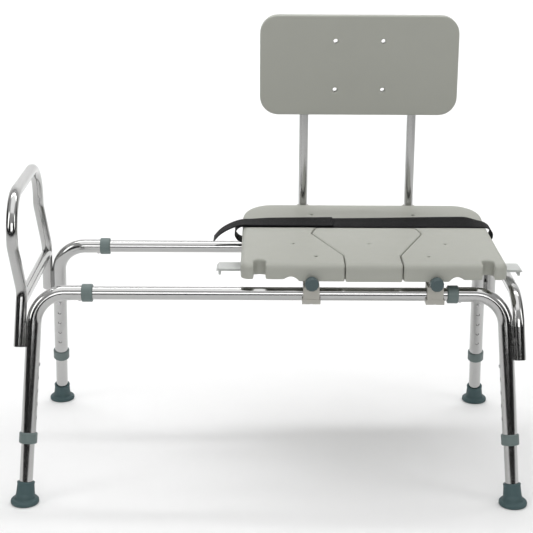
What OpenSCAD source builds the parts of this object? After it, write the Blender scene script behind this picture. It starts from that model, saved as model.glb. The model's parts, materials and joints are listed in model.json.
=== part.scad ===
// Sliding bath transfer bench: a welded and plugged aluminium tube frame on four telescoping legs,
// and a moulded seat with a lift-out centre piece and a backrest, which slides along two rails.
// +X runs along the rails, +Y to the back, +Z up. The origin is on the floor, under the frame's centre.

/* [Rails] */
// Outside diameter of the two rails that the seat slides on
rail_d = 25.4; // [22:0.1:30]
// Wall of the rails
rail_wall = 1.6; // [1.2:0.1:2.5]
// Distance between the two rails, centre to centre
rail_spacing = 320; // [270:1:390]
// Height of the rails' centres above the floor
rail_z = 390; // [350:1:480]
// Length of rail that shows between the two ends' tubes
rail_span = 690; // [590:1:840]

/* [Corner tubes and legs] */
// Wall of the corner tubes and of the legs
leg_wall = 1.4; // [1.2:0.1:2]
// Radial gap between a tube and the tube that plugs into it
plug_gap = 0.2; // [0.1:0.05:0.4]
// Bend radius of the corner tubes, at the tube's centre line
corner_bend = 60; // [50:1:75]
// Length of the straight, horizontal stretch of a corner tube
stub_length = 45; // [42:1:70]
// How much further out a foot is than the top of its leg, along X
splay_x = 21; // [0:1:60]
// How much further out a foot is than the rail, along Y
splay_y = 101; // [40:1:130]
// Height of the collar at the lower end of the outer leg
leg_collar_z = 125; // [110:1:135]
// Height of the hole that the leg's button is in
leg_button_z = 258; // [245:1:270]
// Distance from one height hole to the next
hole_pitch = 25.4; // [20:0.1:26]
// Number of height holes
hole_count = 5; // [3:1:5]
// Diameter of the buttons of all the snap clips
button_d = 7; // [6:0.1:8]

/* [Plastic collars and rubber feet] */
// Outside diameter of the collars
collar_d = 34.6; // [34:0.1:38]
// Length of the collars
collar_length = 21; // [16:0.5:26]
// Diameter of a foot's tread
foot_d = 54; // [46:1:64]
// Height of a foot
foot_h = 41; // [34:1:50]

/* [End frames] */
// Outside diameter of the side handle, its crossbar and the end arch
side_d = 22.2; // [19:0.1:24]
// Wall of those tubes
side_wall = 1.5; // [1.2:0.1:2.5]
// Height of the handle's top bar, at its centre
handle_z = 572; // [565:1:640]
// Height of the lower ends of the handle
handle_end_z = 290; // [280:1:310]
// Height of the lower ends of the arch
arch_end_z = 269; // [262:1:290]
// Height of the arch's top bar, which a latch hooks on
arch_z = 385; // [380:1:388]
// Height of the handle's crossbar, which the other latch hooks on
crossbar_z = 374; // [368:1:380]
// How far the handle leans out above the rails
handle_lean = 14; // [0:1:20]
// Gap between the end frames' tubes and the legs, which the welds fill
weld_gap = 0.3; // [0.2:0.1:3]

/* [Seat] */
// Length of the seat, along the rails
seat_l = 504; // [470:1:560]
// Distance from the front rail to the front of the seat
seat_front = 24; // [23:1:40]
// Distance from the back rail to the back of the seat
seat_back = 62; // [54:1:80]
// Height of the seat's flat top above the rails' centres
seat_rise = 66; // [62:1:80]
// How much higher the seat's back edge is than its flat top
seat_kick = 13; // [4:1:20]
// Depth of the seat's skirt in the middle of its front
skirt_h = 36; // [34:1:40]
// Wall of the seat, the centre piece and the backrest
shell = 4; // [3:0.5:5]
// Width of the gap between the seat and its centre piece
piece_gap = 1.2; // [0.8:0.1:2]
// Half width of the centre piece at the front
mouth_half = 54; // [45:1:60]
// Half width of the centre piece at its widest
throat_half = 111; // [100:1:120]
// Diameter of the drain holes
drain_d = 7; // [5:0.5:10]
// Width of the safety strap
strap_w = 50; // [38:1:50]
// Thickness of the safety strap's webbing
strap_t = 1.6; // [1.2:0.1:2.5]

/* [Slides, knobs and latches] */
// Distance between the two slide blocks on a rail
block_spacing = 235; // [225:1:250]
// Length of a slide block along the rail
block_l = 31; // [26:1:36]
// Radial gap between a slide block and its rail
slide_gap = 0.3; // [0.2:0.05:0.6]
// Diameter of the knobs
knob_d = 26; // [22:1:30]
// Length of a knob's head
knob_l = 15; // [12:1:20]
// Width of a latch lever
latch_w = 46; // [30:1:60]

/* [Backrest] */
// How far the backrest is off the seat's middle, along the rails
back_shift = -10; // [-30:1:30]
// Width of the backrest
back_w = 415; // [360:1:480]
// Height of the backrest
back_h = 208; // [190:1:240]
// Thickness of the backrest
back_t = 24; // [20:1:30]
// Height of the backrest's middle above the rails' centres
back_rise = 376; // [330:1:420]
// Outside diameter of the backrest's posts
post_d = 19.05; // [17:0.05:22]
// Wall of the backrest's posts
post_wall = 1.5; // [1.2:0.1:2]
// Distance between the two posts
post_spacing = 228; // [200:1:280]

/* [Hidden] */
$fn = 48;
fit_gap = 0.1;                              // between pieces that stay together
bend_thin = 0.06;                           // a bend stretches a tube's wall thinner
bend_lap = 0.1;                             // how far a straight runs into its bend
corner_d = rail_d + 2 * (plug_gap + leg_wall);
leg_top_x = rail_span / 2 + stub_length + 57 * corner_bend / 60;
foot_x = leg_top_x + splay_x;
foot_y = rail_spacing / 2 + splay_y;
rail_y = rail_spacing / 2;
rail_end = rail_span / 2 + stub_length - 2;  // half length of a rail
rail_button_x = rail_span / 2 + 18;
leg_length = norm([splay_x, splay_y, rail_z]);
leg_scale = leg_length / rail_z;            // distance along a leg for each millimetre of height
leg_s = function (z) z * leg_scale;
button_s = leg_s(leg_button_z);
leg_travel = (hole_count - 1) * hole_pitch;
outer_end_s = leg_s(leg_collar_z) - 7;
inner_top_s = button_s + 24;
foot_socket_s = 9;
side_r = side_d / 2;
handle_off = corner_d / 2 + side_r + weld_gap;
handle_x = leg_top_x + handle_off + handle_lean;
lean_height = 88;                           // height over which the handle leans out

seat_x = rail_span / 2 - 10 - 6 - block_l / 2 - block_spacing / 2;  // seat against its right-hand stop
seat_travel = 2 * seat_x;
seat_top = rail_z + seat_rise;
skirt_z = seat_top - skirt_h;
end_skirt_z = skirt_z + 4;
y_front = -rail_y - seat_front;
y_back = rail_y + seat_back;
channel_y = rail_y - 83;                    // front of the strap's shallow channel
channel_w = strap_w + 3;
channel_depth = 2;
rib_z = rail_z + 30;
ledge_z = seat_top - 29;                    // top of the ledge under the centre piece
horn_w = 25;                                // from the seat's end to the notch
notch_w = 22;
notch_depth = 34;
knob_z = rail_z + 30;
knob_gap = 3;
stem_d = 8;
block_y = 20;                               // half depth of a slide block
block_bottom = rail_z - rail_d / 2 - slide_gap - 2.6;
cap_split_z = rail_z - 5;
lug_gap = 1.5;
mount_rib_y = rail_y - 14;                  // middle of the rib that the knobs' stems screw into
mount_rib_t = 8;

pivot_x = seat_l / 2 - 8;                   // latch pivot, from the seat's middle
latch_z = rail_z + 20;
latch_y = -50;
latch_t = 5;
pin_d = 5;
keeper_x = leg_top_x + handle_off;           // middle of the arch's top bar
tooth_gap = 4.3;
latch_reach = keeper_x + side_r + tooth_gap - seat_x;
tip_reach = handle_x + side_r - seat_x;

back_x = seat_x + back_shift;
post_y = y_back + 16;
socket_bottom = rail_z + 26;
socket_top = rail_z + 72;
post_bottom = socket_bottom + 3;
post_top = rail_z + back_rise + back_h / 2 - 30;
post_button_z = rail_z + 50;
lift_travel = 60;
back_z = rail_z + back_rise;
back_y = post_y - 13;                       // backrest's front face
back_hole_dx = 50;
back_hole_dz = 51;

// Signs of the four corners: along X, then along Y
FL = [-1, -1];
FR = [1, -1];
RL = [-1, 1];
RR = [1, 1];

metal = "silver";
pale = [0.70, 0.70, 0.67];
slate = [0.30, 0.36, 0.36];

// ---- Helpers ----

function unit(v) = v / norm(v);
function across(v) = abs(v.z) < 0.9 ? unit(cross(v, [0, 0, 1])) : unit(cross(v, [0, 1, 0]));

// Places children at origin o, with their x, y and z axes along ex, ey and ez
module framed(o, ex, ey, ez)
  multmatrix([[ex.x, ey.x, ez.x, o.x], [ex.y, ey.y, ez.y, o.y], [ex.z, ey.z, ez.z, o.z], [0, 0, 0, 1]])
    children();

// A ring's cross-section, or a full disc where bore is 0
module ring2d(d, bore)
  difference() {
    circle(d = d);
    if (bore > 0) circle(d = bore);
  }

// A straight tube from a to b
module straight_tube(a, b, d, bore) {
  ez = unit(b - a);
  ex = across(ez);
  framed(a, ex, cross(ez, ex), ez)
    linear_extrude(norm(b - a)) ring2d(d, bore);
}

// A tube bent from direction u to direction v, round the corner point p
module tube_bend(p, u, v, r, d, bore) {
  turn = acos(u * v);
  centre = p + unit(v - u) * r / cos(turn / 2);
  e1 = unit(p - u * r * tan(turn / 2) - centre);
  e3 = unit(cross(u, v));
  framed(centre, e1, cross(e3, e1), e3)
    rotate_extrude(angle = turn) translate([r, 0]) ring2d(d - bend_thin, bore + bend_thin);
}

// A tube along the points p, with bends of the radii r at its inner points
module bent_tube(p, r, d, bore) {
  n = len(p);
  u = [for (i = [0 : n - 2]) unit(p[i + 1] - p[i])];
  t = [for (i = [0 : n - 1]) i == 0 || i == n - 1 ? 0 : r[i - 1] * tan(acos(u[i - 1] * u[i]) / 2)];
  union() {
    for (i = [0 : n - 2])
      straight_tube(p[i] + u[i] * (t[i] - (i > 0 ? bend_lap : 0)),
                    p[i + 1] - u[i] * (t[i + 1] - (i < n - 2 ? bend_lap : 0)), d, bore);
    for (i = [1 : n - 2]) tube_bend(p[i], u[i - 1], u[i], r[i - 1], d, bore);
  }
}

// Points of an outline with its corners p rounded by the radii r, counter-clockwise or not
function rounded(p, r, steps = 8) = [
  for (i = [0 : len(p) - 1])
    let (
      a = p[(i + len(p) - 1) % len(p)], b = p[i], c = p[(i + 1) % len(p)],
      u = unit(b - a), v = unit(c - b),
      turn = acos(min(1, u * v)),
      side = sign(u.x * v.y - u.y * v.x),
      start = b - u * r[i] * tan(turn / 2),
      centre = start + side * r[i] * [-u.y, u.x]
    )
    if (r[i] == 0 || turn < 0.01) b
    else for (k = [0 : steps])
      let (w = side * turn * k / steps, s = start - centre)
      centre + [s.x * cos(w) - s.y * sin(w), s.x * sin(w) + s.y * cos(w)]
];

// A solid turned about the line from o along the unit vector dir, from half sections [radius, distance]
module turned(o, dir, section) {
  ex = across(dir);
  framed(o, ex, cross(dir, ex), dir) rotate_extrude() polygon(section);
}

// A rod along the unit vector dir, starting at o
module rod(o, dir, d, l) {
  ex = across(dir);
  framed(o, ex, cross(dir, ex), dir) cylinder(d = d, h = l);
}

// ---- Frame ----

function corner_at(c) = [c.x * leg_top_x, c.y * rail_y, rail_z];
function foot_at(c) = [c.x * foot_x, c.y * foot_y, 0];
function leg_dir(c) = unit(corner_at(c) - foot_at(c));
function on_leg(c, s) = foot_at(c) + leg_dir(c) * s;
// The way a leg's button points: in towards the middle on the front legs, to the front on the rear legs
function button_dir(c) =
  let (w = c.y < 0 ? [-c.x, 0, 0] : [0, -1, 0], u = leg_dir(c))
  unit(w - u * (w * u));

module rail(side)
  color(metal)
    difference() {
      straight_tube([-rail_end, side * rail_y, rail_z], [rail_end, side * rail_y, rail_z],
                    rail_d, rail_d - 2 * rail_wall);
      for (sx = [-1, 1])
        rod([sx * rail_button_x, side * rail_y, rail_z], [0, 0, -1], button_d + 0.6, rail_d);
    }

module corner_tube(c)
  color(metal)
    difference() {
      bent_tube([[c.x * rail_span / 2, c.y * rail_y, rail_z], corner_at(c), on_leg(c, outer_end_s)],
                [corner_bend], corner_d, corner_d - 2 * leg_wall);
      rod([c.x * rail_button_x, c.y * rail_y, rail_z], [0, 0, -1], button_d + 0.4, corner_d);
      for (i = [0 : hole_count - 1])
        rod(on_leg(c, button_s - i * hole_pitch), button_dir(c), button_d + 0.4, corner_d);
    }

// Collar section: it covers a tube's end, and its smaller bore fits the tube that comes out
function collar_section(inner_d, outer_d) =
  let (l = collar_length, r = collar_d / 2, e = 1.5, half = l / 2 + 3.1)
  [[inner_d / 2 + fit_gap, 0], [r - e, 0], [r, e], [r, l - e], [r - e, l],
   [outer_d / 2 + fit_gap, l], [outer_d / 2 + fit_gap, l - half], [inner_d / 2 + fit_gap, l - half]];

module rail_collars()
  color(slate)
    for (c = [FL, FR, RL, RR])
      turned([c.x * (rail_span / 2 - collar_length + 13.5), c.y * rail_y, rail_z], [c.x, 0, 0],
             collar_section(rail_d, corner_d));

module leg_collars()
  color(slate)
    for (c = [FL, FR, RL, RR])
      turned(on_leg(c, outer_end_s - 7.5), leg_dir(c), collar_section(rail_d + 0.2, corner_d));

// A snap clip: a domed button on the end of a leaf spring, which lies along a tube's inner wall
module snap_clip(o, dir, along, wall_r, out_r) {
  leaf_w = 7;
  leaf_l = 38;
  leaf_t = 0.6;
  ex = unit(cross(along, dir));
  color("dimgray")
    framed(o, ex, along, dir) {
      translate([-leaf_w / 2, -leaf_w / 2, wall_r - leaf_t]) cube([leaf_w, leaf_l, leaf_t]);
      translate([0, 0, wall_r - leaf_t])
        rotate_extrude()
          polygon([[0, 0], [button_d / 2, 0], [button_d / 2, out_r - wall_r + leaf_t + 0.6],
                   [button_d / 2 - 1.2, out_r - wall_r + leaf_t + 1.8], [0, out_r - wall_r + leaf_t + 2.2]]);
    }
}

module rail_clip(c)
  snap_clip([c.x * rail_button_x, c.y * rail_y, rail_z], [0, 0, -1], [-c.x, 0, 0],
            rail_d / 2 - rail_wall - 1.8, corner_d / 2);

module leg_clip(c)
  snap_clip(on_leg(c, button_s), button_dir(c), -leg_dir(c),
            rail_d / 2 - leg_wall - 1.8, corner_d / 2);

module leg_tube(c)
  color(metal)
    difference() {
      straight_tube(on_leg(c, foot_socket_s + fit_gap), on_leg(c, inner_top_s),
                    rail_d, rail_d - 2 * leg_wall);
      rod(on_leg(c, button_s), button_dir(c), button_d + 0.6, rail_d);
    }

// A rubber foot: a cup along the leg, on a tread that lies flat on the floor
module foot(c) {
  r = foot_d / 2;
  neck = rail_d / 2 + 3.6;
  color(slate)
    difference() {
      union() {
        turned(foot_at(c), [0, 0, 1], [[0, 0], [r - 1.5, 0], [r, 1.5], [r, 6.5], [r - 3, 9.5], [0, 9.5]]);
        turned(foot_at(c), leg_dir(c),
               [[0, 6], [neck + 3.6, 6], [neck + 3.2, 12], [neck + 1.6, 17], [neck, foot_h - 4],
                [neck + 0.8, foot_h - 3], [neck + 0.8, foot_h - 1], [neck, foot_h], [0, foot_h]]);
      }
      rod(on_leg(c, foot_socket_s), leg_dir(c), rail_d + 2 * fit_gap, foot_h);
    }
}

// ---- End frames ----

// Where the tube beside a leg runs, off the leg's axis by off along X, at height z
function beside_leg(c, off, z) = on_leg(c, leg_s(z)) + [c.x * off, 0, 0];

function handle_points() =
  let (
    knee = rail_z + 2,
    low = beside_leg(FL, handle_off, handle_end_z),
    bend1 = beside_leg(FL, handle_off, knee),
    bend2 = [-handle_x, bend1.y, bend1.z + lean_height],
    top = [bend2.x, bend2.y, handle_z]
  )
  concat([low, bend1, bend2, top], [for (p = [top, bend2, bend1, low]) [p.x, -p.y, p.z]]);

module side_handle()
  color(metal)
    bent_tube(handle_points(), [60, 60, 75, 75, 60, 60], side_d, side_d - 2 * side_wall);

function crossbar_at() = beside_leg(FL, handle_off, crossbar_z);

// The crossbar's ends are saddled round the handle's tubes, with the gap that the weld fills
module handle_crossbar() {
  p = crossbar_at();
  u = leg_dir(FL);
  color(metal)
    difference() {
      straight_tube([p.x, p.y, p.z], [p.x, -p.y, p.z], side_d, side_d - 2 * side_wall);
      for (c = [FL, RL])
        rod(beside_leg(c, handle_off, crossbar_z - 40), leg_dir(c), side_d + 2 * fit_gap, 80);
    }
}

function arch_points() =
  let (low = beside_leg(FR, handle_off, arch_end_z), top = beside_leg(FR, handle_off, arch_z))
  [low, top, [top.x, -top.y, top.z], [low.x, -low.y, low.z]];

module end_arch()
  color(metal)
    bent_tube(arch_points(), [72, 72], side_d, side_d - 2 * side_wall);

// A weld in the valley between a leg and the tube beside it
module leg_weld(c, off, z0, z1, side) {
  a = beside_leg(c, off / 2 + (corner_d - side_d) / 4, z0);
  u = leg_dir(c);
  ex = unit([1, 0, 0] - u * u.x);
  ey = cross(u, ex);
  difference() {
    framed(a, ex, ey, u)
      translate([0, side * 5.2, 0]) rotate(45) translate([-2.6, -2.6, 0]) cube([5.2, 5.2, leg_s(z1 - z0)]);
    rod(on_leg(c, leg_s(z0) - 5), u, corner_d + 2 * fit_gap, leg_s(z1 - z0) + 10);
    rod(beside_leg(c, off, z0 - 5), u, side_d + 2 * fit_gap, leg_s(z1 - z0 + 10));
  }
}

module weld_beads()
  color("gainsboro") {
    for (c = [FL, RL]) for (s = [-1, 1]) leg_weld(c, handle_off, handle_end_z + 2, handle_end_z + 44, s);
    for (c = [FR, RR]) for (s = [-1, 1]) leg_weld(c, handle_off, arch_end_z + 2, arch_end_z + 42, s);
  }

// Caps that close the lower ends of the handle and of the arch
module tube_end_plugs()
  color(metal)
    for (e = [[FL, handle_off, handle_end_z], [RL, handle_off, handle_end_z],
              [FR, handle_off, arch_end_z], [RR, handle_off, arch_end_z]])
      rod(beside_leg(e[0], e[1], e[2]), leg_dir(e[0]), side_d - 2 * side_wall - 2 * fit_gap, 3);

// ---- Seat ----

// The seat's outline seen from above, about its own middle, drawn in by inset
function seat_outline(inset) =
  let (x = seat_l / 2 - inset, f = y_front + inset, b = y_back - inset)
  rounded([[-x, f], [x, f], [x, b], [-x, b]], [16, 16, 62, 62] - inset * [1, 1, 1, 1]);

// The cut-out for the centre piece, drawn out by grow, open to the front
function cutout(grow) =
  let (
    m = mouth_half + grow, t = throat_half + grow, back = channel_y + grow,
    front = y_front - 20, waist = y_front + 62 + grow / 3, hip = channel_y - 42
  )
  rounded([[-m, front], [m, front], [m, waist], [t, hip], [t - 9, back], [9 - t, back], [-t, hip], [-m, waist]],
          [0, 0, 14, 20, 12, 12, 20, 14]);

// The space over the seat's top surface, lowered by drop
module above_seat(drop)
  translate([-seat_l, 0, 0])
    rotate([90, 0, 90])
      linear_extrude(2 * seat_l)
        polygon([[y_front - 30, seat_top - drop], [channel_y + channel_w, seat_top - drop],
                 [y_back, seat_top + seat_kick - drop], [y_back + 30, seat_top + seat_kick - drop],
                 [y_back + 30, seat_top + 80], [y_front - 30, seat_top + 80]]);

// A slab of a plan outline between two heights
module slab(z0, z1, outline)
  translate([0, 0, z0]) linear_extrude(z1 - z0) polygon(outline);

// The hand-shower notch in a front corner, drawn out by grow
module notch2d(side, grow)
  translate([side * (seat_l / 2 - horn_w - notch_w / 2), y_front - grow]) {
    translate([-notch_w / 2 - grow, -1]) square([notch_w + 2 * grow, notch_depth - notch_w / 2 + grow + 1]);
    translate([0, notch_depth - notch_w / 2 + grow]) circle(d = notch_w + 2 * grow);
  }

// What is cut off under the skirt: its middle reaches lower than its ends, with an arch between
module under_skirt() {
  step_x = seat_l / 2 - 95;
  for (s = [-1, 1])
    translate([s > 0 ? step_x : -seat_l, y_front - 5, skirt_z - 10])
      cube([seat_l - step_x, y_back - y_front + 10, 10 + end_skirt_z - skirt_z]);
  for (s = [-1, 1])
    translate([s * step_x, y_front - 5, skirt_z - 6]) rotate([-90, 0, 0]) cylinder(r = 16, h = 30);
}

module drain(x, y, z) translate([x, y, z - 20]) cylinder(d = drain_d, h = 40);

// Places children at each knob, about the seat's middle: X, then which side
module at_knobs() for (s = [-1, 1]) for (k = [-1, 1]) translate([k * block_spacing / 2, 0, 0]) children($side = s);

module seat() {
  low = skirt_z;
  high = seat_top + 60;
  color(pale)
    translate([seat_x, 0, 0])
      difference() {
        union() {
          difference() {
            slab(low, high, seat_outline(0));
            difference() {
              slab(low - 1, high, seat_outline(shell));
              above_seat(shell);
            }
          }
          intersection() {
            slab(low, high, seat_outline(1));
            union() {
              difference() {
                slab(ledge_z - 6, high, cutout(piece_gap + shell));
                slab(low - 1, high, cutout(piece_gap));
              }
              difference() {
                slab(ledge_z - 6, ledge_z, cutout(piece_gap + shell));
                slab(low - 1, high, cutout(-9));
                translate([-mouth_half - 10, y_front - 1, low]) cube([2 * mouth_half + 20, 16, 60]);
              }
              for (s = [-1, 1])
                translate([s * (throat_half + 11) - 2, -mount_rib_y, rib_z])
                  cube([4, 2 * mount_rib_y, high - rib_z]);
              for (s = [-1, 1]) linear_extrude_from(low + 5, high) notch2d(s, shell);
              for (s = [-1, 1])
                translate([-seat_l / 2 + 2, s * mount_rib_y - mount_rib_t / 2, rail_z + 22])
                  cube([seat_l - 4, mount_rib_t, high - rail_z - 22]);
              for (s = [-1, 1]) for (x = [pivot_x - 34, pivot_x - 10])
                translate([s * x - 2, latch_y - latch_w, rib_z]) cube([4, 2 * latch_w, high - rib_z]);
            }
          }
        }
        above_seat(0);
        slab(ledge_z, high, cutout(piece_gap));
        translate([0, 0, -1]) intersection() {
          slab(low, high, cutout(-9));
          slab(low, high, cutout(piece_gap));
        }
        translate([-mouth_half - piece_gap, y_front - 1, low - 1])
          cube([2 * (mouth_half + piece_gap), 15, high - low]);
        for (s = [-1, 1]) linear_extrude_from(low - 1, high) notch2d(s, 0);
        under_skirt();
        translate([-seat_l, channel_y, seat_top - channel_depth]) cube([2 * seat_l, channel_w, 30]);
        for (s = [-1, 1]) {
          drain(s * 107, y_back - 57, seat_top);
          drain(s * 150, y_front + 143, seat_top);
          drain(s * 108, y_front + 56, seat_top);
        }
        at_knobs()
          translate([0, $side * (mount_rib_y - mount_rib_t), knob_z]) rotate([-90 * $side, 0, 0])
            cylinder(d = stem_d + 2 * fit_gap, h = 3 * mount_rib_t);
        for (k = [-1, 1])
          translate([k * block_spacing / 2, y_front - 1, knob_z]) rotate([-90, 0, 0]) cylinder(r = 9, h = shell + 3);
        for (k = [-1, 1]) for (s = [-1, 1])
          translate([k * block_spacing / 2, s * rail_y, 0])
            translate([-block_l / 2 - 1, -block_y - 1, rail_z]) cube([block_l + 2, 2 * block_y + 2, rib_z - rail_z - 2]);
      }
}

module linear_extrude_from(z0, z1) translate([0, 0, z0]) linear_extrude(z1 - z0) children();

// The lift-out centre piece: a tray that stands on the seat's ledge, with its front skirt as deep as the seat's
module seat_centre_piece() {
  high = seat_top + 40;
  front_cut = y_front + shell;
  color(pale)
    translate([seat_x, 0, 0])
      difference() {
        union() {
          slab(ledge_z + fit_gap, seat_top, cutout(0));
          intersection() {
            slab(skirt_z, seat_top, cutout(0));
            translate([-mouth_half, y_front, skirt_z]) cube([2 * mouth_half, 13, skirt_h]);
          }
        }
        translate([-seat_l, y_front - 60, skirt_z - 1]) cube([2 * seat_l, 60, skirt_h + 2]);
        intersection() {
          slab(skirt_z - 1, seat_top - shell, cutout(-shell));
          translate([-seat_l, front_cut, skirt_z - 1]) cube([2 * seat_l, seat_l, skirt_h]);
        }
        drain(0, y_front + 143, seat_top);
      }
}

// The strap's path in the plane of X and Z, about the seat's middle: across, down both ends and back under
function strap_path() =
  let (x = seat_l / 2 + 4, top = seat_top - channel_depth + 0.3 + strap_t / 2, low = end_skirt_z - 2.5)
  rounded([[-x + 30, low], [-x, low], [-x, top], [x, top], [x, low], [x - 30, low]], [0, 3, 3, 3, 3, 0], 6);

// A band of thickness t along the open path p
function band(p, t) =
  let (
    n = len(p),
    u = [for (i = [0 : n - 1]) unit(p[min(i + 1, n - 1)] - p[max(i - 1, 0)])],
    off = [for (v = u) [-v.y, v.x] * t / 2]
  )
  concat([for (i = [0 : n - 1]) p[i] + off[i]], [for (i = [n - 1 : -1 : 0]) p[i] - off[i]]);

module safety_strap()
  color("black")
    translate([seat_x, channel_y + (channel_w + strap_w) / 2, 0])
      rotate([90, 0, 0]) linear_extrude(strap_w) polygon(band(strap_path(), strap_t));

// Plates under the seat's ends that hold the strap
module strap_anchors()
  color("dimgray")
    for (s = [-1, 1])
      translate([seat_x + s * (seat_l / 2 - 24) - 11, channel_y + 3, end_skirt_z - 6]) cube([22, strap_w - 3, 2]);

// ---- Slides and knobs ----

module at_block(c) translate([seat_x + c.x * block_spacing / 2, c.y * rail_y, 0]) children();

module slide_block(c)
  color(pale)
    at_block(c)
      difference() {
        union() {
          translate([-block_l / 2, -block_y, cap_split_z + fit_gap])
            cube([block_l, 2 * block_y, rail_z + 20 - cap_split_z]);
          translate([-11, c.y > 0 ? -14 + mount_rib_t / 2 + lug_gap : -block_y + 2, rail_z + 19])
            cube([22, block_y + 12 - mount_rib_t / 2 - lug_gap, 23]);
        }
        translate([0, 0, rail_z]) rotate([0, 90, 0])
          cylinder(d = rail_d + 2 * slide_gap, h = block_l + 2, center = true);
        translate([0, 0, knob_z]) rotate([90, 0, 0]) cylinder(d = stem_d + 0.1, h = 4 * block_y, center = true);
        for (s = [-1, 1])
          translate([0, s * (block_y - 3.5), cap_split_z - 1]) cylinder(d = 3 + 2 * fit_gap, h = 12);
      }

module slide_caps()
  color(pale)
    for (c = [FL, FR, RL, RR])
      at_block(c)
        difference() {
          translate([0, 0, block_bottom])
            rotate([90, 0, 90]) linear_extrude(block_l + 4, center = true)
              polygon([[-block_y + 3, 0], [block_y - 3, 0], [block_y, 3], [block_y, cap_split_z - block_bottom],
                       [-block_y, cap_split_z - block_bottom], [-block_y, 3]]);
          translate([0, 0, rail_z]) rotate([0, 90, 0])
            cylinder(d = rail_d + 2 * slide_gap, h = block_l + 8, center = true);
          for (s = [-1, 1])
            translate([0, s * (block_y - 3.5), 0]) {
              translate([0, 0, block_bottom - 1]) cylinder(d = 3 + 2 * fit_gap, h = 30);
              translate([0, 0, block_bottom - 1]) cylinder(d = 5 + 2 * fit_gap, h = 4.5);
            }
        }

module slide_cap_screws()
  color("dimgray")
    for (c = [FL, FR, RL, RR]) for (s = [-1, 1])
      at_block(c)
        translate([0, s * (block_y - 3.5), block_bottom + 0.8]) {
          cylinder(d = 5, h = 2.6);
          cylinder(d = 3, h = 15);
        }

module knob(c)
  color(slate)
    at_block(c)
      translate([0, c.y * (y_knob(c) - rail_y), knob_z])
        rotate([-90 * c.y, 0, 0]) {
          difference() {
            rotate_extrude()
              polygon([[0, 0], [knob_d / 2 - 1.5, 0], [knob_d / 2, 1.5], [knob_d / 2, knob_l - 2.5],
                       [knob_d / 2 - 2.5, knob_l], [0, knob_l]]);
            for (i = [0 : 11])
              rotate(30 * i) translate([knob_d / 2 + 1.1, 0, 2]) cylinder(d = 3.4, h = knob_l);
          }
          translate([0, 0, -(y_knob(c) - mount_rib_y + mount_rib_t / 2 - 1)])
            cylinder(d = stem_d, h = y_knob(c) - mount_rib_y + mount_rib_t / 2);
        }

// How far from the frame's middle plane the back of a knob's head is
function y_knob(c) = c.y < 0 ? -y_front + knob_gap : rail_y + block_y + knob_gap + 4;

// ---- Latches ----

// A lever under a seat's end, with a tooth that drops behind the bar at that end
module latch(s) {
  tooth_z = arch_z + side_r + 2;              // clear of the bar until the latch is pushed down
  color(pale)
    translate([seat_x, latch_y, 0])
      flip_x(s) difference() {
        union() {
          translate([pivot_x, -latch_w / 2, latch_z - latch_t / 2])
            cube([latch_reach + 5 - pivot_x, latch_w, latch_t]);
          translate([pivot_x, latch_w / 2, latch_z]) rotate([90, 0, 0]) cylinder(d = 12, h = latch_w);
          translate([latch_reach, -latch_w / 2 + 6, tooth_z])
            cube([5, latch_w - 12, latch_z - tooth_z]);
          translate([0, latch_w / 2 - 3, 0]) rotate([90, 0, 0])
            linear_extrude(latch_w - 6)
              polygon([[latch_reach + 5, latch_z + latch_t / 2], [tip_reach - 1, latch_z - 1.5],
                       [tip_reach, latch_z - 4], [latch_reach + 5, latch_z - latch_t / 2]]);
        }
        translate([pivot_x, latch_w, latch_z]) rotate([90, 0, 0]) cylinder(d = pin_d + 0.1, h = 2 * latch_w);
      }
}

module flip_x(s) mirror([s < 0 ? 1 : 0, 0, 0]) children();

// Forks under the seat that hold the latches' pins
module latch_brackets()
  color(pale)
    translate([seat_x, latch_y, 0])
      for (s = [-1, 1])
        flip_x(s) difference() {
          union() {
            translate([pivot_x - 42, -latch_w / 2 - 5, rib_z - 3.1]) cube([43, latch_w + 10, 3]);
            for (e = [-1, 1])
              translate([pivot_x - 8, e * (latch_w / 2 + 2.75) - 2, latch_z - 7]) cube([16, 4, rib_z - latch_z + 6.9]);
          }
          translate([pivot_x, latch_w, latch_z]) rotate([90, 0, 0]) cylinder(d = pin_d + 2 * fit_gap, h = 2 * latch_w);
        }

module latch_pins()
  color("dimgray")
    for (s = [-1, 1])
      translate([seat_x + s * pivot_x, latch_y + latch_w / 2 + 7, latch_z]) rotate([90, 0, 0])
        cylinder(d = pin_d, h = latch_w + 14);

// ---- Backrest ----

module back_outline(inset)
  polygon(rounded([for (c = [FL, FR, RR, RL]) [c.x * (back_w / 2 - inset), c.y * (back_h / 2 - inset)]],
                  [38, 38, 38, 38] - inset * [1, 1, 1, 1]));

// Places children at the middle of the backrest's front face, with Z to the back and Y up
module on_back()
  translate([back_x, back_y, back_z]) rotate([90, 0, 0]) mirror([0, 0, 1]) children();

module backrest_panel()
  color(pale)
    on_back()
      difference() {
        union() {
          difference() {
            linear_extrude(back_t) back_outline(0);
            translate([0, 0, shell]) linear_extrude(back_t) back_outline(shell);
          }
          for (sx = [-1, 1]) for (sz = [-1, 1])
            translate([sx * back_hole_dx, sz * back_hole_dz, 0]) cylinder(d = drain_d + 9, h = back_t - 2);
          for (e = [-1, 1]) for (w = [-1, 1])
            translate([e * post_spacing / 2 + w * (post_d / 2 + 3) - 1.5, -back_h / 2 + 2, 1]) cube([3, back_h - 4, 8]);
          for (z = [-1, 0, 1])
            translate([-back_w / 2 + 2, z * 51 - 1.5, 1]) cube([back_w - 4, 3, 7.5]);
        }
        for (e = [-1, 1])
          translate([e * post_spacing / 2, -back_h / 2 - 1, 13]) rotate([-90, 0, 0])
            cylinder(d = post_d + 2 * fit_gap, h = back_h - 25);
        for (sx = [-1, 1]) for (sz = [-1, 1])
          translate([sx * back_hole_dx, sz * back_hole_dz, -1]) cylinder(d = drain_d + 3, h = back_t + 2);
      }

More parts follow.
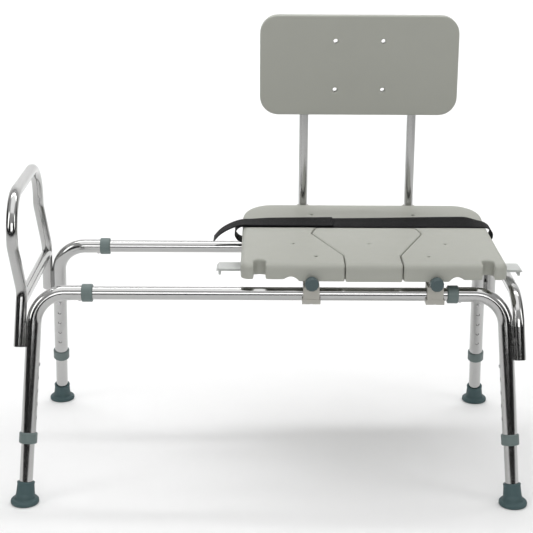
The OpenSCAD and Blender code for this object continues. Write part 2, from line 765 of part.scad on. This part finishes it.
module backrest_post(s)
  color(metal)
    difference() {
      straight_tube([back_x + s * post_spacing / 2, post_y, post_bottom],
                    [back_x + s * post_spacing / 2, post_y, post_top], post_d, post_d - 2 * post_wall);
      rod([back_x + s * post_spacing / 2, post_y, post_button_z], [0, 1, 0], button_d + 0.6, post_d);
    }

clip_levels = [-62, 32];                    // heights of the post clips, from the backrest's middle

module at_post_clips()
  for (e = [-1, 1]) for (z = clip_levels) translate([e * post_spacing / 2, z, 0]) children();

// Saddles that hold the posts in the panel's back
module post_clips()
  color(pale)
    on_back()
      at_post_clips()
        difference() {
          union() {
            translate([-post_d / 2 - 12, -9, 9.1]) cube([post_d + 24, 18, 3]);
            translate([0, -9, 13]) rotate([-90, 0, 0]) cylinder(d = post_d + 6, h = 18);
          }
          translate([0, -10, 13]) rotate([-90, 0, 0]) cylinder(d = post_d + 2 * fit_gap, h = 20);
          translate([-20, -10, -8]) cube([40, 20, 17.1]);
          for (w = [-1, 1]) translate([w * (post_d / 2 + 7.5), 0, 0]) cylinder(d = 4 + 2 * fit_gap, h = 20);
        }

module post_clip_screws()
  color("dimgray")
    on_back()
      at_post_clips()
        for (w = [-1, 1])
          translate([w * (post_d / 2 + 7.5), 0, 8.2 - 4]) {
            cylinder(d = 4, h = 9);
            translate([0, 0, 8]) cylinder(d = 7, h = 2.4);
          }

// A socket on the seat's back edge that a post plugs into
module backrest_socket(s)
  color(pale)
    translate([back_x + s * post_spacing / 2, post_y, 0])
      difference() {
        union() {
          translate([0, 0, socket_bottom]) cylinder(d = post_d + 8, h = socket_top - socket_bottom);
          translate([-27, y_back - post_y + fit_gap, socket_bottom + 4]) cube([54, 4, socket_top - socket_bottom - 8]);
          translate([-9, y_back - post_y + 2, socket_bottom]) cube([18, 8, socket_top - socket_bottom]);
        }
        translate([0, 0, post_bottom - 0.2]) cylinder(d = post_d + 0.2, h = 60);
        rod([0, 0, post_button_z], [0, 1, 0], button_d + 0.4, 30);
      }

module post_snap_clip(s)
  snap_clip([back_x + s * post_spacing / 2, post_y, post_button_z], [0, 1, 0], [0, 0, 1],
            post_d / 2 - post_wall - 1.8, post_d / 2 + 4);

// ---- Nodes ----

rail(-1);  // front_rail
rail(1);  // rear_rail
corner_tube(FL);  // corner_tube_fl
corner_tube(FR);  // corner_tube_fr
corner_tube(RL);  // corner_tube_rl
corner_tube(RR);  // corner_tube_rr
rail_collars();
leg_collars();
rail_clip(FL);  // rail_clip_fl
rail_clip(FR);  // rail_clip_fr
rail_clip(RL);  // rail_clip_rl
rail_clip(RR);  // rail_clip_rr
side_handle();
handle_crossbar();
end_arch();
weld_beads();
tube_end_plugs();
leg_tube(FL);  // leg_tube_fl
leg_tube(FR);  // leg_tube_fr
leg_tube(RL);  // leg_tube_rl
leg_tube(RR);  // leg_tube_rr
leg_clip(FL);  // leg_clip_fl
leg_clip(FR);  // leg_clip_fr
leg_clip(RL);  // leg_clip_rl
leg_clip(RR);  // leg_clip_rr
foot(FL);  // foot_fl
foot(FR);  // foot_fr
foot(RL);  // foot_rl
foot(RR);  // foot_rr
seat();
seat_centre_piece();
safety_strap();
strap_anchors();
slide_block(FL);  // slide_block_fl
slide_block(FR);  // slide_block_fr
slide_block(RL);  // slide_block_rl
slide_block(RR);  // slide_block_rr
slide_caps();
slide_cap_screws();
knob(FL);  // knob_fl
knob(FR);  // knob_fr
knob(RL);  // knob_rl
knob(RR);  // knob_rr
latch(-1);  // latch_left
latch(1);  // latch_right
latch_brackets();
latch_pins();
backrest_panel();
backrest_post(-1);  // backrest_post_l
backrest_post(1);  // backrest_post_r
post_clips();
post_clip_screws();
backrest_socket(-1);  // backrest_socket_l
backrest_socket(1);  // backrest_socket_r
post_snap_clip(-1);  // post_snap_clip_l
post_snap_clip(1);  // post_snap_clip_r
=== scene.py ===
import json
import math

import bmesh
import bpy
import numpy as np
from mathutils import Matrix, Vector

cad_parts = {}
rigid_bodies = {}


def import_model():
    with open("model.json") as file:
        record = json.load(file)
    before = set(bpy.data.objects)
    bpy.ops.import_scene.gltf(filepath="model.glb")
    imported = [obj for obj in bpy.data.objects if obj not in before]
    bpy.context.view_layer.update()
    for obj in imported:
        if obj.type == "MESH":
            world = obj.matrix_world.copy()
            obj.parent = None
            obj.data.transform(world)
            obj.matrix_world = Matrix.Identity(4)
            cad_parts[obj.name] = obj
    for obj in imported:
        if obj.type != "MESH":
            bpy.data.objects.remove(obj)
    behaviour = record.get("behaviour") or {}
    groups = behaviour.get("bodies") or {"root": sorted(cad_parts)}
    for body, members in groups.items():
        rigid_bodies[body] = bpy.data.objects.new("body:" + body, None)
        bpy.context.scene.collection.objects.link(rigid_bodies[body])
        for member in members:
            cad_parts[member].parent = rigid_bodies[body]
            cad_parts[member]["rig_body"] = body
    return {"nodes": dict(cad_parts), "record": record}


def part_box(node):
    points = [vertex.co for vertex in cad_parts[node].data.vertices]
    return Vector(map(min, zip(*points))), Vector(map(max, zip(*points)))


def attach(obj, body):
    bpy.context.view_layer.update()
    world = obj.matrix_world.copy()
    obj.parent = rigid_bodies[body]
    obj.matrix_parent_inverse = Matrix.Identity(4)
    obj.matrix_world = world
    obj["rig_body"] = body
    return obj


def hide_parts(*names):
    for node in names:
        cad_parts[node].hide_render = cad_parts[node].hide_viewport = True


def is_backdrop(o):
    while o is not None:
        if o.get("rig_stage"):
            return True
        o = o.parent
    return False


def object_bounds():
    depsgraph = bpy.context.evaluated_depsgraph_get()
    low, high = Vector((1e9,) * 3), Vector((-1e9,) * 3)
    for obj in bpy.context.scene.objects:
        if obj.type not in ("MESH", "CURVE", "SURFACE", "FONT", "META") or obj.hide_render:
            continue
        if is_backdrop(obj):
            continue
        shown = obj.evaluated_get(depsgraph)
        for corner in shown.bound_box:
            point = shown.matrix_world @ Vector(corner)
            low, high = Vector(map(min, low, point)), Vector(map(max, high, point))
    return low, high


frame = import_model()


def plain(bounds):
    """A bounds value as plain lists of numbers."""
    if hasattr(bounds, "__len__"):
        return [plain(b) for b in bounds]
    return float(bounds)


size_at_start = plain(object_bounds())
nodes = frame["nodes"]
CORNERS = ("fl", "fr", "rl", "rr")

# ---- Materials ----

MIX_DARK, MIX_LIGHT = 6, 7  # the Mix node's colour inputs
MIX_RESULT = 2  # and its colour output


def new_material(name):
    m = bpy.data.materials.new(name)
    m.use_nodes = True
    tree = m.node_tree
    return m, tree, tree.nodes["Principled BSDF"]


def add(tree, kind, **values):
    """A new node, with its inputs or settings given by name."""
    n = tree.nodes.new(kind)
    for key, value in values.items():
        if key in n.inputs:
            n.inputs[key].default_value = value
        else:
            setattr(n, key, value)
    return n


def noise(tree, scale, detail=3.0):
    """Noise fixed to the object, with scale in waves per metre."""
    coord = add(tree, "ShaderNodeTexCoord")
    n = add(tree, "ShaderNodeTexNoise", Scale=scale, Detail=detail)
    tree.links.new(coord.outputs["Object"], n.inputs["Vector"])
    return n.outputs["Fac"]


def between(tree, fac, low, high):
    n = add(tree, "ShaderNodeMapRange")
    n.inputs["To Min"].default_value = low
    n.inputs["To Max"].default_value = high
    tree.links.new(fac, n.inputs["Value"])
    return n.outputs["Result"]


def tint(tree, fac, dark, light):
    n = add(tree, "ShaderNodeMix", data_type="RGBA")
    n.inputs[MIX_DARK].default_value = (*dark, 1)
    n.inputs[MIX_LIGHT].default_value = (*light, 1)
    tree.links.new(fac, n.inputs[0])
    return n.outputs[MIX_RESULT]


def bump(tree, height, strength, distance, normal=None):
    n = add(tree, "ShaderNodeBump", Strength=strength, Distance=distance)
    tree.links.new(height, n.inputs["Height"])
    if normal:
        tree.links.new(normal, n.inputs["Normal"])
    return n.outputs["Normal"]


def plastic(name, colour, spread, rough, grain, depth, coat=0.0):
    """A moulded plastic with a fine grain, faint mottling and uneven gloss."""
    m, tree, shader = new_material(name)
    light = tuple(min(1, c * (1 + spread)) for c in colour)
    dark = tuple(c * (1 - spread) for c in colour)
    swing = 0.06
    gloss = between(tree, noise(tree, scale=60), low=rough - swing, high=rough + swing)
    fine = bump(tree, noise(tree, grain, detail=2.0), strength=0.5, distance=depth)
    waves = bump(tree, noise(tree, scale=30, detail=1.0), strength=0.2, distance=depth, normal=fine)
    tree.links.new(tint(tree, noise(tree, scale=14), dark, light), shader.inputs["Base Color"])
    tree.links.new(gloss, shader.inputs["Roughness"])
    tree.links.new(waves, shader.inputs["Normal"])
    shader.inputs["Coat Weight"].default_value = coat
    return m


def metal(name, colour, rough):
    """A polished metal with faint stains, uneven gloss and a fine grain."""
    m, tree, shader = new_material(name)
    stained = 0.93
    dark = tuple(c * stained for c in colour)
    gloss = between(tree, noise(tree, scale=180, detail=4.0), low=rough - 0.05, high=rough + 0.07)
    grain = bump(tree, noise(tree, scale=420), strength=0.12, distance=0.0002)
    tree.links.new(tint(tree, noise(tree, scale=45), dark, colour), shader.inputs["Base Color"])
    tree.links.new(gloss, shader.inputs["Roughness"])
    tree.links.new(grain, shader.inputs["Normal"])
    shader.inputs["Metallic"].default_value = 1.0
    return m


WEFT_PITCH, WARP_PITCH = 2.4, 1.7  # millimetres
WARP_SWAY = 1.6
WARP_SHARE = 0.5
# Painted shade and highlight: the webbing colour is darker in the weave's hollows and lighter on its raised
# threads.
WEB_HOLLOW_SHADE, WEB_RIDGE_LIGHT = (0.0015, 0.0015, 0.0018), (0.006, 0.006, 0.0065)
WEB_SPECULAR = 0.12


def webbing_material():
    """Black woven webbing with painted shade in the weave's hollows and painted highlight on its raised
    threads: UV runs in millimetres along and across the strap.
    """
    m, tree, shader = new_material("strap_webbing")
    uv = add(tree, "ShaderNodeUVMap")
    split = add(tree, "ShaderNodeSeparateXYZ")
    tree.links.new(uv.outputs["UV"], split.inputs["Vector"])

    def wave(socket, pitch, phase=None):
        scaled = add(tree, "ShaderNodeMath", operation="MULTIPLY")
        scaled.inputs[1].default_value = 2 * math.pi / pitch
        tree.links.new(socket, scaled.inputs[0])
        out = add(tree, "ShaderNodeMath", operation="SINE")
        if phase:
            shifted = add(tree, "ShaderNodeMath", operation="ADD")
            tree.links.new(scaled.outputs[0], shifted.inputs[0])
            tree.links.new(phase, shifted.inputs[1])
            tree.links.new(shifted.outputs[0], out.inputs[0])
        else:
            tree.links.new(scaled.outputs[0], out.inputs[0])
        return out.outputs[0]

    across = wave(split.outputs["Y"], WEFT_PITCH)
    sway = add(tree, "ShaderNodeMath", operation="MULTIPLY")
    sway.inputs[1].default_value = WARP_SWAY
    tree.links.new(across, sway.inputs[0])
    along = wave(split.outputs["X"], WARP_PITCH, sway.outputs[0])
    both = add(tree, "ShaderNodeMath", operation="MULTIPLY_ADD")
    both.inputs[1].default_value = WARP_SHARE
    tree.links.new(along, both.inputs[0])
    tree.links.new(across, both.inputs[2])
    height = between(tree, both.outputs[0], low=0.0, high=1.0)
    gloss = between(tree, noise(tree, scale=300), low=0.5, high=0.72)
    # Painted shade: the base colour follows the weave height, darker in the hollows and lighter on the raised
    # threads.
    tree.links.new(tint(tree, height, WEB_HOLLOW_SHADE, WEB_RIDGE_LIGHT), shader.inputs["Base Color"])
    tree.links.new(gloss, shader.inputs["Roughness"])
    tree.links.new(bump(tree, height, strength=0.7, distance=0.0006), shader.inputs["Normal"])
    shader.inputs["Specular IOR Level"].default_value = WEB_SPECULAR
    return m


LATCH_CLEARNESS = 0.3
LATCH = plastic("latch_plastic", (0.62, 0.64, 0.62), spread=0.03, rough=0.32, grain=500, depth=0.0002, coat=0.2)
LATCH.node_tree.nodes["Principled BSDF"].inputs["Transmission Weight"].default_value = LATCH_CLEARNESS
THREAD = plastic("strap_thread", (0.03, 0.03, 0.032), spread=0.1, rough=0.7, grain=900, depth=0.0001)
WEBBING = webbing_material()
BY_SLOT = {
    "tube_aluminium": metal("tube_aluminium", (0.50, 0.50, 0.495), rough=0.12),
    "clip_steel": metal("clip_steel", (0.55, 0.55, 0.56), rough=0.28),
    "seat_plastic": plastic(
        "seat_plastic", (0.37, 0.375, 0.335), spread=0.025, rough=0.5, grain=900, depth=0.0006),
    "slide_plastic": plastic(
        "slide_plastic", (0.42, 0.41, 0.37), spread=0.03, rough=0.45, grain=700, depth=0.0002),
    "collar_plastic": plastic(
        "collar_plastic", (0.125, 0.165, 0.16), spread=0.05, rough=0.42, grain=800, depth=0.0002),
    "knob_plastic": plastic(
        "knob_plastic", (0.055, 0.085, 0.09), spread=0.06, rough=0.42, grain=800, depth=0.0002),
    "foot_rubber": plastic(
        "foot_rubber", (0.045, 0.085, 0.09), spread=0.07, rough=0.6, grain=600, depth=0.0003),
    "latch_plastic": LATCH,
    "strap_webbing": WEBBING,
}

# ---- CAD nodes: finish and rounded moulded edges ----

SHARP_ANGLE = math.radians(35)
WELD_DISTANCE = 0.00001
SOFTENING = 0.5


def moulded(name, voxel, steps):
    """Gives a CAD node the soft edges of a moulding."""
    obj = nodes[name]
    w = obj.modifiers.new("weld", "WELD")
    w.merge_threshold = WELD_DISTANCE
    r = obj.modifiers.new("remesh", "REMESH")
    r.mode = "VOXEL"
    r.voxel_size = voxel
    r.use_smooth_shade = True
    s = obj.modifiers.new("soften", "SMOOTH")
    s.factor = SOFTENING
    s.iterations = steps


for part in frame["record"]["subparts"]:
    obj = nodes[part["node"]]
    obj.data.materials.clear()
    obj.data.materials.append(BY_SLOT[part["material_slot"]])
    obj.data.shade_smooth()
    obj.data.set_sharp_from_angle(angle=SHARP_ANGLE)

moulded("seat", voxel=0.0019, steps=22)
moulded("seat_centre_piece", voxel=0.0018, steps=20)
moulded("backrest_panel", voxel=0.0016, steps=10)
for corner in CORNERS:
    moulded("foot_" + corner, voxel=0.0011, steps=3)
    moulded("knob_" + corner, voxel=0.0006, steps=2)
    moulded("slide_block_" + corner, voxel=0.0009, steps=3)
for side in ("left", "right"):
    moulded("latch_" + side, voxel=0.0009, steps=3)
for side in ("l", "r"):
    moulded("backrest_socket_" + side, voxel=0.0009, steps=2)

# ---- Seat top with well rounded outer edges ----

SEAT_LOW, SEAT_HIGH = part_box("seat")
FLAT_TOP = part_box("seat_centre_piece")[1].z
STRAP_TO_KICK = 0.0015
KICK_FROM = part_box("safety_strap")[1].y + STRAP_TO_KICK
TOP_ROUND = 0.011
FRONT_CORNER, BACK_CORNER = 0.016, 0.062
SLOPE_STEP = 0.0002
TINY = 1e-9


def outer_distance(x, y):
    """How far inside the seat's outline each point is, seen from above."""
    middle = (SEAT_LOW + SEAT_HIGH) / 2
    half = (SEAT_HIGH - SEAT_LOW) / 2
    corner = np.where(y > middle.y, BACK_CORNER, FRONT_CORNER)
    qx, qy = np.abs(x - middle.x) - half.x + corner, np.abs(y - middle.y) - half.y + corner
    outside = np.hypot(np.maximum(qx, 0), np.maximum(qy, 0)) + np.minimum(np.maximum(qx, qy), 0)
    return corner - outside


def rounded_copy(node, name, rounding):
    """A copy of a moulded node, as it is after its modifiers, with its outer top edge rolled over."""
    source = nodes[node]
    bpy.context.view_layer.update()
    evaluated = source.evaluated_get(bpy.context.evaluated_depsgraph_get())
    mesh = bpy.data.meshes.new_from_object(evaluated)
    mesh.name = name
    co = np.empty(len(mesh.vertices) * 3)
    mesh.vertices.foreach_get("co", co)
    co = co.reshape(-1, 3)
    x, y, z = co.T
    kick_share = np.clip((y - KICK_FROM) / (SEAT_HIGH.y - KICK_FROM), 0, 1)
    depth = np.maximum(FLAT_TOP + kick_share * (SEAT_HIGH.z - FLAT_TOP) - z, 0)
    inside = np.maximum(outer_distance(x, y), 0)
    step = SLOPE_STEP
    slope_x = (outer_distance(x + step, y) - outer_distance(x - step, y)) / (2 * step)
    slope_y = (outer_distance(x, y + step) - outer_distance(x, y - step)) / (2 * step)
    a, b = rounding - inside, rounding - depth
    reach = np.hypot(a, b)
    cut = (a > 0) & (b > 0) & (reach > rounding)
    pull = np.where(cut, 1 - rounding / np.maximum(reach, TINY), 0)
    co[:, 0] += slope_x * a * pull
    co[:, 1] += slope_y * a * pull
    co[:, 2] -= b * pull
    mesh.vertices.foreach_set("co", co.ravel())
    mesh.shade_smooth()
    mesh.update()
    obj = bpy.data.objects.new(name, mesh)
    bpy.context.scene.collection.objects.link(obj)
    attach(obj, source["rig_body"])
    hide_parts(node)


rounded_copy("seat", "seat_moulding", TOP_ROUND)
rounded_copy("seat_centre_piece", "centre_piece_moulding", TOP_ROUND)

# ---- Safety strap ----

strap_low, strap_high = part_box("safety_strap")
STRAP_W = strap_high.y - strap_low.y
STRAP_T = 0.0018
STRAP_Y = (strap_low.y + strap_high.y) / 2
STRAP_TOP = strap_high.z - STRAP_T / 2
UNDER_Z = strap_low.z + STRAP_T / 2
EDGE_GAP = 0.0035
FACES_ACROSS = 12
EDGE_THICKNESS = 0.35  # the share of its thickness that the webbing keeps at its very edge
EDGE_FILL = 14  # how quickly it thickens inwards from there
UV_PER_METRE = 1000


def spline(points, per_span):
    """A smooth curve through the points."""
    p = [Vector(v) for v in points]
    p = [2 * p[0] - p[1]] + p + [2 * p[-1] - p[-2]]
    out = []
    for i in range(1, len(p) - 2):
        for k in range(per_span):
            t = k / per_span
            out.append(0.5 * (2 * p[i] + (p[i + 1] - p[i - 1]) * t
                              + (2 * p[i - 1] - 5 * p[i] + 4 * p[i + 1] - p[i + 2]) * t ** 2
                              + (3 * p[i] - p[i - 1] - 3 * p[i + 1] + p[i + 2]) * t ** 3))
    out.append(p[-2])
    return out


def ribbon(name, line, width, thickness, tilt):
    """A band of webbing along a line in X and Z, with its width along Y, tilted up at the back by tilt(x).
    Returns it and its length."""
    bm = bmesh.new()
    uv = bm.loops.layers.uv.new("UVMap")
    rows, lengths, run = [], [], 0.0
    for i, c in enumerate(line):
        ahead, behind = line[min(i + 1, len(line) - 1)], line[max(i - 1, 0)]
        along = (ahead - behind).normalized()
        up = along.cross(Vector((0, 1, 0))).normalized() * -1
        if i:
            run += (c - line[i - 1]).length
        lengths.append(run)
        angle = tilt(c.x)
        side = Vector((0, math.cos(angle), math.sin(angle)))
        c = c + Vector((0, 0, math.sin(angle) * width / 2))
        ring = []
        for face in (1, -1):
            for k in range(FACES_ACROSS + 1):
                v = (k / FACES_ACROSS - 0.5) * face
                edge = min(1.0, (0.5 - abs(v)) * EDGE_FILL + EDGE_THICKNESS)
                place = c + side * (v * width) + up * (face * thickness / 2 * edge)
                ring.append((bm.verts.new(place), v))
        rows.append(ring)
    n = len(rows[0])
    for i in range(len(rows) - 1):
        for k in range(n):
            a, b = rows[i][k], rows[i][(k + 1) % n]
            c, d = rows[i + 1][(k + 1) % n], rows[i + 1][k]
            f = bm.faces.new((a[0], b[0], c[0], d[0]))
            f.smooth = True
            spots = ((lengths[i], a[1]), (lengths[i], b[1]), (lengths[i + 1], c[1]), (lengths[i + 1], d[1]))
            for loop, (u, v) in zip(f.loops, spots):
                loop[uv].uv = (u * UV_PER_METRE, v * width * UV_PER_METRE)
    bm.faces.new([v for v, _ in rows[0]])
    bm.faces.new([v for v, _ in reversed(rows[-1])])
    bmesh.ops.recalc_face_normals(bm, faces=bm.faces)
    mesh = bpy.data.meshes.new(name)
    bm.to_mesh(mesh)
    bm.free()
    obj = bpy.data.objects.new(name, mesh)
    bpy.context.scene.collection.objects.link(obj)
    obj.data.materials.append(WEBBING)
    obj.location.y = STRAP_Y
    return obj, run


STITCH_PITCH = 0.003
STITCH_RADII = (0.0011, 0.0004, 0.0003)
STITCH_BOX = (0.034, STRAP_W - 0.012)


def stitches(name, centre, size):
    """A box of stitching with a cross in it, on a level stretch of the strap."""
    bm = bmesh.new()
    w, h = size
    corners = [(-w / 2, -h / 2), (w / 2, -h / 2), (w / 2, h / 2), (-w / 2, h / 2)]
    sides = [(corners[i], corners[(i + 1) % 4]) for i in range(4)]
    cross = [(corners[0], corners[2]), (corners[1], corners[3])]
    for a, b in sides + cross:
        a, b = Vector((*a, 0)), Vector((*b, 0))
        count = max(3, int((b - a).length / STITCH_PITCH))
        turn = Matrix.Rotation(math.atan2(b.y - a.y, b.x - a.x), 4, "Z")
        for k in range(count):
            mid = a.lerp(b, (k + 0.5) / count)
            place = Matrix.Translation(Vector(centre) + mid) @ turn @ Matrix.Diagonal((*STITCH_RADII, 1))
            bmesh.ops.create_icosphere(bm, subdivisions=1, radius=1, matrix=place)
    mesh = bpy.data.meshes.new(name)
    bm.to_mesh(mesh)
    bm.free()
    mesh.shade_smooth()
    obj = bpy.data.objects.new(name, mesh)
    bpy.context.scene.collection.objects.link(obj)
    mesh.materials.append(THREAD)
    return obj


left, right = SEAT_LOW.x - EDGE_GAP, SEAT_HIGH.x + EDGE_GAP
top_line = spline([
    (left + 0.034, 0, UNDER_Z),
    (left + 0.012, 0, UNDER_Z - 0.0005),
    (left - 0.004, 0, UNDER_Z + 0.004),
    (left - 0.012, 0, STRAP_TOP - 0.016),
    (left - 0.003, 0, STRAP_TOP - 0.001),
    (left + 0.022, 0, STRAP_TOP + 0.0012),
    (left + 0.12, 0, STRAP_TOP + 0.0012),
    ((left + right) / 2, 0, STRAP_TOP + 0.0006),
    (right - 0.11, 0, STRAP_TOP + 0.001),
    (right - 0.03, 0, STRAP_TOP + 0.0008),
    (right - 0.004, 0, STRAP_TOP - 0.0002),
    (right + 0.008, 0, STRAP_TOP - 0.012),
    (right + 0.005, 0, UNDER_Z + 0.008),
    (right - 0.010, 0, UNDER_Z - 0.0005),
    (right - 0.034, 0, UNDER_Z),
], per_span=18)
TILT_LEFT, TILT_RIGHT = math.radians(3), math.radians(13)
LEVEL_LEFT, LEVEL_RIGHT = 0.12, 0.10  # the shares of the width over which the tilt comes in


def strap_tilt(x):
    """The band lies almost flat at the left, leans forward towards the right, and is level over both edges."""
    share = min(1.0, max(0.0, (x - left) / (right - left)))
    ease = min(1.0, share / LEVEL_LEFT, (1 - share) / LEVEL_RIGHT)
    ease = ease * ease * (3 - 2 * ease)
    return ease * (TILT_LEFT + (TILT_RIGHT - TILT_LEFT) * share)


strap, strap_length = ribbon("strap_band", top_line, STRAP_W, STRAP_T, strap_tilt)
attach(strap, "seat_carriage")
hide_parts("safety_strap")

ON_BAND = STRAP_TOP + STRAP_T
tail_line = spline([
    (left + 0.19, 0, ON_BAND + 0.0016),
    (left + 0.10, 0, ON_BAND + 0.0018),
    (left + 0.03, 0, ON_BAND + 0.0020),
    (left + 0.002, 0, ON_BAND + 0.0020),
    (left - 0.022, 0, STRAP_TOP - 0.004),
    (left - 0.042, 0, STRAP_TOP - 0.016),
    (left - 0.056, 0, STRAP_TOP - 0.031),
], per_span=14)
tail, tail_length = ribbon("strap_tail", tail_line, STRAP_W, STRAP_T, strap_tilt)
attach(tail, "seat_carriage")

STITCH_AT = (left + 0.165, STRAP_Y, ON_BAND + 0.0016 + STRAP_T / 2)
box_stitch = stitches("strap_stitches", STITCH_AT, STITCH_BOX)
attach(box_stitch, "seat_carriage")

# ---- Stage, light and camera ----

FLOOR = plastic("floor", (0.9, 0.9, 0.9), spread=0.01, rough=0.7, grain=40, depth=0.0002)
FLOOR_FRONT, WALL_Y = -4.0, 3.2
WALL_RADIUS, WALL_HEIGHT = 1.2, 4.0
HALF_WIDTH = 5.0
CURVE_STEPS = 16


def backdrop():
    """A pale floor that curves up into a wall."""
    profile = [(FLOOR_FRONT, 0.0)]
    for i in range(CURVE_STEPS + 1):
        a = math.pi / 2 * i / CURVE_STEPS
        out = WALL_Y - WALL_RADIUS + WALL_RADIUS * math.sin(a)
        profile.append((out, WALL_RADIUS - WALL_RADIUS * math.cos(a)))
    profile.append((WALL_Y, WALL_HEIGHT))
    bm = bmesh.new()
    lines = [[bm.verts.new((x, y, z)) for y, z in profile] for x in (-HALF_WIDTH, HALF_WIDTH)]
    for i in range(len(profile) - 1):
        bm.faces.new((lines[0][i], lines[1][i], lines[1][i + 1], lines[0][i + 1])).smooth = True
    mesh = bpy.data.meshes.new("backdrop")
    bm.to_mesh(mesh)
    bm.free()
    obj = bpy.data.objects.new("backdrop", mesh)
    bpy.context.scene.collection.objects.link(obj)
    mesh.materials.append(FLOOR)
    return obj


backdrop()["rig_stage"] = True


def area_light(name, place, aim, size, power):
    light = bpy.data.lights.new(name, "AREA")
    light.shape = "RECTANGLE"
    light.size, light.size_y = size
    light.energy = power
    obj = bpy.data.objects.new(name, light)
    obj.location = place
    obj.rotation_euler = (Vector(aim) - Vector(place)).to_track_quat("-Z", "Y").to_euler()
    bpy.context.scene.collection.objects.link(obj)


area_light("top_light", place=(0, -0.5, 3.0), aim=(0, 0, 0.4), size=(3.4, 2.6), power=25)
area_light("left_light", place=(-2.9, -1.4, 1.7), aim=(0, 0, 0.4), size=(0.9, 1.8), power=15)
area_light("right_light", place=(2.9, -1.2, 1.6), aim=(0, 0, 0.4), size=(0.8, 1.8), power=13)
area_light("front_light", place=(0, -3.4, 1.5), aim=(0, 0, 0.5), size=(2.6, 1.2), power=26)
area_light("wall_light", place=(0, 1.0, 3.2), aim=(0, 3.2, 1.0), size=(4.5, 0.8), power=80)

WORLD_STRENGTH = 0.62
# Height, from straight down at 0 to straight up at 1, and the grey there.
WORLD_GREYS = ((0.0, 0.3), (0.44, 0.10), (0.50, 0.02), (0.64, 0.03), (0.75, 0.7), (1.0, 1.0))


def studio_world():
    """A room that is bright overhead and dark at eye level, so that the tubes have something to mirror."""
    world = bpy.data.worlds.new("studio")
    bpy.context.scene.world = world
    world.use_nodes = True
    tree = world.node_tree
    coord = add(tree, "ShaderNodeTexCoord")
    split = add(tree, "ShaderNodeSeparateXYZ")
    spread = add(tree, "ShaderNodeMapRange")
    spread.inputs["From Min"].default_value = -1
    ramp = add(tree, "ShaderNodeValToRGB")
    while len(ramp.color_ramp.elements) < len(WORLD_GREYS):
        ramp.color_ramp.elements.new(0.5)
    for element, (height, grey) in zip(ramp.color_ramp.elements, WORLD_GREYS):
        element.position = height
        element.color = (grey, grey, grey, 1)
    tree.links.new(coord.outputs["Generated"], split.inputs["Vector"])
    tree.links.new(split.outputs["Z"], spread.inputs["Value"])
    tree.links.new(spread.outputs["Result"], ramp.inputs["Fac"])
    tree.links.new(ramp.outputs["Color"], tree.nodes["Background"].inputs["Color"])
    tree.nodes["Background"].inputs["Strength"].default_value = WORLD_STRENGTH


studio_world()
bpy.context.scene.view_settings.view_transform = "Standard"

CAMERA_AT = Vector((-0.0143, -2.6978, 1.2208))
YAW, PITCH, ROLL = math.radians(0.168), math.radians(17.018), math.radians(0.3)
LENS_MM, SENSOR_MM = 94.56, 36
forward = Vector((math.sin(YAW) * math.cos(PITCH), math.cos(YAW) * math.cos(PITCH), -math.sin(PITCH)))
level = Vector((math.cos(YAW), -math.sin(YAW), 0))
upward = level.cross(forward)
turned_right = level * math.cos(ROLL) + upward * math.sin(ROLL)
turned_up = upward * math.cos(ROLL) - level * math.sin(ROLL)
camera_data = bpy.data.cameras.new("camera")
camera_data.sensor_width = SENSOR_MM
camera_data.lens = LENS_MM
camera = bpy.data.objects.new("camera", camera_data)
camera.matrix_world = Matrix((
    (turned_right.x, turned_up.x, -forward.x, CAMERA_AT.x),
    (turned_right.y, turned_up.y, -forward.y, CAMERA_AT.y),
    (turned_right.z, turned_up.z, -forward.z, CAMERA_AT.z),
    (0, 0, 0, 1),
))
bpy.context.scene.collection.objects.link(camera)
bpy.context.scene.camera = camera

{"start": size_at_start, "end": plain(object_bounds())}
